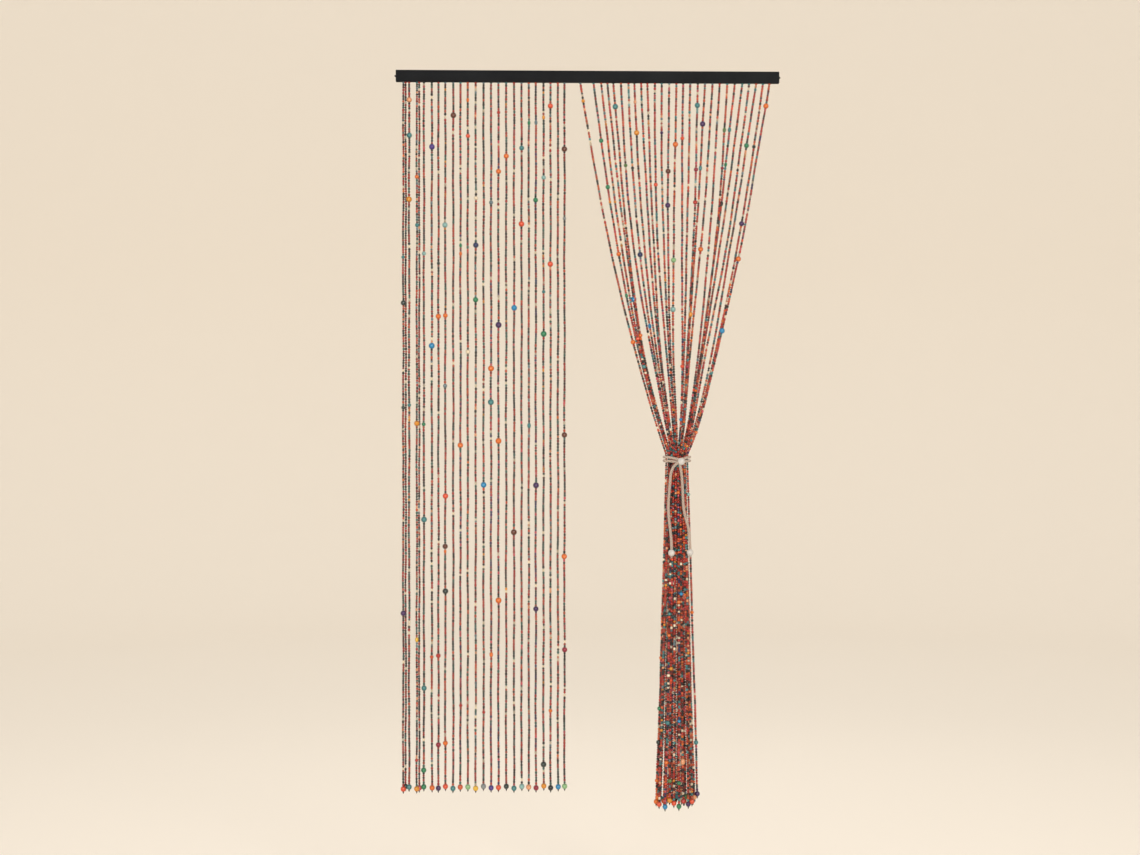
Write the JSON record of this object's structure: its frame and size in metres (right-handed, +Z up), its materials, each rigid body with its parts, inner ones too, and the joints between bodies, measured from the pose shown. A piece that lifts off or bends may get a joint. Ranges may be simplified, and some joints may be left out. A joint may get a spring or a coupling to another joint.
{
  "type": "bead door curtain on a rail",
  "caption": "Bead door curtain on a black rail: one half hangs straight, the other is gathered at mid height by a cord tie with a ball slider.",
  "frame": {"origin": "middle of the rail's back face", "axes": "+Z up, +Y out of the rail's back towards the lintel it is fixed to, +X along the rail to the viewer's right, so the viewer looks along +Y"},
  "size_m": [0.907, 0.0426, 1.7354],
  "materials": {
    "rail_paint": "satin black paint",
    "stud_metal": "dark satin",
    "painted_beads": "glossy paint in many colours on small wood and bamboo beads",
    "tie_cord": "soft braided cord",
    "tie_balls": "pale satin paint"
  },
  "bodies": {
    "root": {"rail": "rail_paint", "end_stud_left": "stud_metal", "end_stud_right": "stud_metal", "strands_straight": "painted_beads", "strands_fan": "painted_beads", "strands_tail": "painted_beads", "tie_turn_upper": "tie_cord", "tie_turn_lower": "tie_cord", "tie_slider": "tie_balls", "tie_cord_left": "tie_cord", "tie_cord_right": "tie_cord", "tie_end_ball_left": "tie_balls", "tie_end_ball_right": "tie_balls"}
  },
  "joints": []
}
